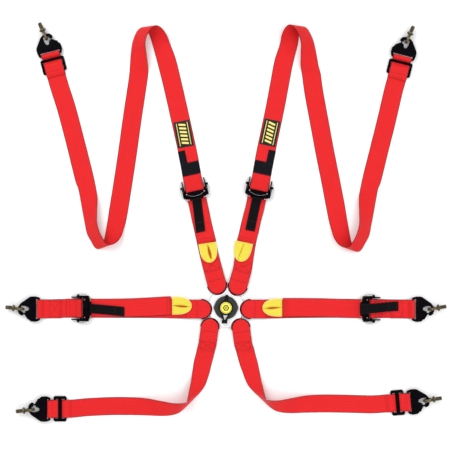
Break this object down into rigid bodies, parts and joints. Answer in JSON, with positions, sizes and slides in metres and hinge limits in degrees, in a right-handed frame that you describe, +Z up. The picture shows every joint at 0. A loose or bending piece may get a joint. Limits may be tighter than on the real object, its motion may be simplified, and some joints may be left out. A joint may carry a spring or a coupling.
{
  "type": "racing harness",
  "caption": "Webbing racing harness with a rotary quick-release buckle, lever adjusters, sliders, snap hooks and threaded eye bolts, laid out flat.",
  "frame": {"origin": "on the floor under the buckle's axis", "axes": "+Z up out of the buckle's dial, +Y up the shoulder straps, X along the lap straps"},
  "size_m": [1.186, 1.0751, 0.0471],
  "materials": {
    "buckle_alloy": "satin cast",
    "dial_grey": "fine texture",
    "black_plastic": "smooth",
    "yellow_badge": "glossy",
    "bright_steel": "bright",
    "plated_zinc": "yellow passivated",
    "yellow_tape": "woven tape",
    "label_black": "printed label",
    "black_tape": "woven tape",
    "red_webbing": "woven polyester",
    "black_steel": "satin black"
  },
  "bodies": {
    "harness": {"buckle_back_plate": "buckle_alloy", "buckle_body": "buckle_alloy", "finger_loops": "yellow_tape", "hook_and_loop_patches": "black_tape", "left_anchor_webbing": "red_webbing", "left_chest_webbing": "red_webbing", "left_crotch_slider": "black_steel", "left_crotch_tongue": "black_steel", "left_crotch_webbing": "red_webbing", "left_lap_adjuster_frame": "black_steel", "left_lap_tongue": "black_steel", "left_lap_webbing": "red_webbing", "left_main_webbing": "red_webbing", "left_shoulder_adjuster_frame": "black_steel", "left_shoulder_slider": "black_steel", "left_shoulder_tongue": "black_steel", "return_spring": "bright_steel", "right_anchor_webbing": "red_webbing", "right_chest_webbing": "red_webbing", "right_crotch_slider": "black_steel", "right_crotch_tongue": "black_steel", "right_crotch_webbing": "red_webbing", "right_lap_adjuster_frame": "black_steel", "right_lap_tongue": "black_steel", "right_lap_webbing": "red_webbing", "right_main_webbing": "red_webbing", "right_shoulder_adjuster_frame": "black_steel", "right_shoulder_slider": "black_steel", "right_shoulder_tongue": "black_steel", "shoulder_labels": "label_black"},
    "dial": {"dial": "dial_grey", "dial_hub": "black_plastic", "dial_badge": "yellow_badge"},
    "lock_ring": {"lock_ring": "bright_steel"},
    "left_shoulder_lever": {"left_shoulder_adjuster_lever": "black_steel"},
    "left_shoulder_tab": {"left_shoulder_pull_tab": "black_tape"},
    "right_shoulder_lever": {"right_shoulder_adjuster_lever": "black_steel"},
    "right_shoulder_tab": {"right_shoulder_pull_tab": "black_tape"},
    "left_lap_lever": {"left_lap_adjuster_lever": "black_steel"},
    "left_lap_tab": {"left_lap_pull_tab": "black_tape"},
    "right_lap_lever": {"right_lap_adjuster_lever": "black_steel"},
    "right_lap_tab": {"right_lap_pull_tab": "black_tape"},
    "left_shoulder_hook": {"left_shoulder_hook": "black_steel"},
    "left_shoulder_gate": {"left_shoulder_gate": "black_steel"},
    "left_shoulder_eye_bolt": {"left_shoulder_eye_bolt": "plated_zinc"},
    "right_shoulder_hook": {"right_shoulder_hook": "black_steel"},
    "right_shoulder_gate": {"right_shoulder_gate": "black_steel"},
    "right_shoulder_eye_bolt": {"right_shoulder_eye_bolt": "plated_zinc"},
    "left_lap_hook": {"left_lap_hook": "black_steel"},
    "left_lap_gate": {"left_lap_gate": "black_steel"},
    "left_lap_eye_bolt": {"left_lap_eye_bolt": "plated_zinc"},
    "right_lap_hook": {"right_lap_hook": "black_steel"},
    "right_lap_gate": {"right_lap_gate": "black_steel"},
    "right_lap_eye_bolt": {"right_lap_eye_bolt": "plated_zinc"},
    "left_crotch_hook": {"left_crotch_hook": "black_steel"},
    "left_crotch_gate": {"left_crotch_gate": "black_steel"},
    "left_crotch_eye_bolt": {"left_crotch_eye_bolt": "plated_zinc"},
    "right_crotch_hook": {"right_crotch_hook": "black_steel"},
    "right_crotch_gate": {"right_crotch_gate": "black_steel"},
    "right_crotch_eye_bolt": {"right_crotch_eye_bolt": "plated_zinc"}
  },
  "joints": [
    {"name": "dial_turn", "type": "hinge", "parent": "harness", "child": "dial", "pos_m": [0, 0, 0.02], "axis": [0, 0, 1], "range_deg": [0, 30], "stiffness_Nm_per_rad": 0.05},
    {"name": "lock_lift", "type": "slide", "parent": "harness", "child": "lock_ring", "axis": [0, 0, 1], "range_m": [0, 0.0036]},
    {"name": "left_shoulder_lever_lift", "type": "hinge", "parent": "harness", "child": "left_shoulder_lever", "pos_m": [-0.08601, 0.32623, 0.009], "axis": [-0.9763, -0.2164, 0], "range_deg": [0, 45]},
    {"name": "left_shoulder_tab_swing", "type": "hinge", "parent": "left_shoulder_lever", "child": "left_shoulder_tab", "pos_m": [-0.07866, 0.29304, 0.0151], "axis": [-0.9763, -0.2164, 0], "range_deg": [-45, 0]},
    {"name": "right_shoulder_lever_lift", "type": "hinge", "parent": "harness", "child": "right_shoulder_lever", "pos_m": [0.09055, 0.32815, 0.009], "axis": [-0.9781, 0.2079, 0], "range_deg": [0, 45]},
    {"name": "right_shoulder_tab_swing", "type": "hinge", "parent": "right_shoulder_lever", "child": "right_shoulder_tab", "pos_m": [0.08349, 0.29489, 0.0151], "axis": [-0.9781, 0.2079, 0], "range_deg": [-45, 0]},
    {"name": "left_lap_lever_lift", "type": "hinge", "parent": "harness", "child": "left_lap_lever", "pos_m": [-0.398, -0.0024, 0.009], "axis": [0, -1, 0], "range_deg": [0, 45]},
    {"name": "left_lap_tab_swing", "type": "hinge", "parent": "left_lap_lever", "child": "left_lap_tab", "pos_m": [-0.364, -0.0024, 0.0151], "axis": [0, -1, 0], "range_deg": [-45, 0]},
    {"name": "right_lap_lever_lift", "type": "hinge", "parent": "harness", "child": "right_lap_lever", "pos_m": [0.3975, -0.0036, 0.009], "axis": [0, 1, 0], "range_deg": [0, 45]},
    {"name": "right_lap_tab_swing", "type": "hinge", "parent": "right_lap_lever", "child": "right_lap_tab", "pos_m": [0.3635, -0.0036, 0.0151], "axis": [0, 1, 0], "range_deg": [-45, 0]},
    {"name": "left_shoulder_hook_swing", "type": "hinge", "parent": "harness", "child": "left_shoulder_hook", "pos_m": [-0.47237, 0.68158, 0.0101], "axis": [0.9677, 0.2521, 0], "range_deg": [0, 60]},
    {"name": "left_shoulder_gate_open", "type": "hinge", "parent": "left_shoulder_hook", "child": "left_shoulder_gate", "pos_m": [-0.45633, 0.71521, 0.0101], "axis": [0, 0, 1], "range_deg": [0, 12], "stiffness_Nm_per_rad": 0.01},
    {"name": "left_shoulder_bolt_swivel", "type": "hinge", "parent": "left_shoulder_hook", "child": "left_shoulder_eye_bolt", "pos_m": [-0.48701, 0.73181, 0.0145], "axis": [0, 0, 1], "range_deg": [-6, 6]},
    {"name": "right_shoulder_hook_swing", "type": "hinge", "parent": "harness", "child": "right_shoulder_hook", "pos_m": [0.4749, 0.67257, 0.0101], "axis": [0.9703, -0.2419, 0], "range_deg": [0, 60]},
    {"name": "right_shoulder_gate_open", "type": "hinge", "parent": "right_shoulder_hook", "child": "right_shoulder_gate", "pos_m": [0.4585, 0.70603, 0.0101], "axis": [0, 0, -1], "range_deg": [0, 12], "stiffness_Nm_per_rad": 0.01},
    {"name": "right_shoulder_bolt_swivel", "type": "hinge", "parent": "right_shoulder_hook", "child": "right_shoulder_eye_bolt", "pos_m": [0.489, 0.72296, 0.0145], "axis": [0, 0, 1], "range_deg": [-6, 6]},
    {"name": "left_lap_hook_swing", "type": "hinge", "parent": "harness", "child": "left_lap_hook", "pos_m": [-0.5038, -0.0042, 0.0101], "axis": [0, 1, 0], "range_deg": [0, 60]},
    {"name": "left_lap_gate_open", "type": "hinge", "parent": "left_lap_hook", "child": "left_lap_gate", "pos_m": [-0.5323, -0.0282, 0.0101], "axis": [0, 0, -1], "range_deg": [0, 12], "stiffness_Nm_per_rad": 0.01},
    {"name": "left_lap_bolt_swivel", "type": "hinge", "parent": "left_lap_hook", "child": "left_lap_eye_bolt", "pos_m": [-0.5561, -0.0027, 0.0145], "axis": [0, 0, 1], "range_deg": [-6, 6]},
    {"name": "right_lap_hook_swing", "type": "hinge", "parent": "harness", "child": "right_lap_hook", "pos_m": [0.5038, -0.0046, 0.0101], "axis": [0, -1, 0], "range_deg": [0, 60]},
    {"name": "right_lap_gate_open", "type": "hinge", "parent": "right_lap_hook", "child": "right_lap_gate", "pos_m": [0.5323, -0.0286, 0.0101], "axis": [0, 0, 1], "range_deg": [0, 12], "stiffness_Nm_per_rad": 0.01},
    {"name": "right_lap_bolt_swivel", "type": "hinge", "parent": "right_lap_hook", "child": "right_lap_eye_bolt", "pos_m": [0.5561, -0.0031, 0.0145], "axis": [0, 0, 1], "range_deg": [-6, 6]},
    {"name": "left_crotch_hook_swing", "type": "hinge", "parent": "harness", "child": "left_crotch_hook", "pos_m": [-0.4759, -0.2734, 0.0101], "axis": [0, 1, 0], "range_deg": [0, 60]},
    {"name": "left_crotch_gate_open", "type": "hinge", "parent": "left_crotch_hook", "child": "left_crotch_gate", "pos_m": [-0.5044, -0.2494, 0.0101], "axis": [0, 0, 1], "range_deg": [0, 12], "stiffness_Nm_per_rad": 0.01},
    {"name": "left_crotch_bolt_swivel", "type": "hinge", "parent": "left_crotch_hook", "child": "left_crotch_eye_bolt", "pos_m": [-0.5282, -0.2749, 0.0145], "axis": [0, 0, 1], "range_deg": [-6, 6]},
    {"name": "right_crotch_hook_swing", "type": "hinge", "parent": "harness", "child": "right_crotch_hook", "pos_m": [0.49191, -0.25502, 0.0101], "axis": [0.0872, -0.9962, 0], "range_deg": [0, 60]},
    {"name": "right_crotch_gate_open", "type": "hinge", "parent": "right_crotch_hook", "child": "right_crotch_gate", "pos_m": [0.52239, -0.27644, 0.0101], "axis": [0, 0, 1], "range_deg": [0, 12], "stiffness_Nm_per_rad": 0.01},
    {"name": "right_crotch_bolt_swivel", "type": "hinge", "parent": "right_crotch_hook", "child": "right_crotch_eye_bolt", "pos_m": [0.54388, -0.24896, 0.0145], "axis": [0, 0, 1], "range_deg": [-6, 6]}
  ],
  "couplings": [
    {"joint": "left_shoulder_tab_swing", "follows": "left_shoulder_lever_lift", "ratio": -1},
    {"joint": "right_shoulder_tab_swing", "follows": "right_shoulder_lever_lift", "ratio": -1},
    {"joint": "left_lap_tab_swing", "follows": "left_lap_lever_lift", "ratio": -1},
    {"joint": "right_lap_tab_swing", "follows": "right_lap_lever_lift", "ratio": -1}
  ]
}
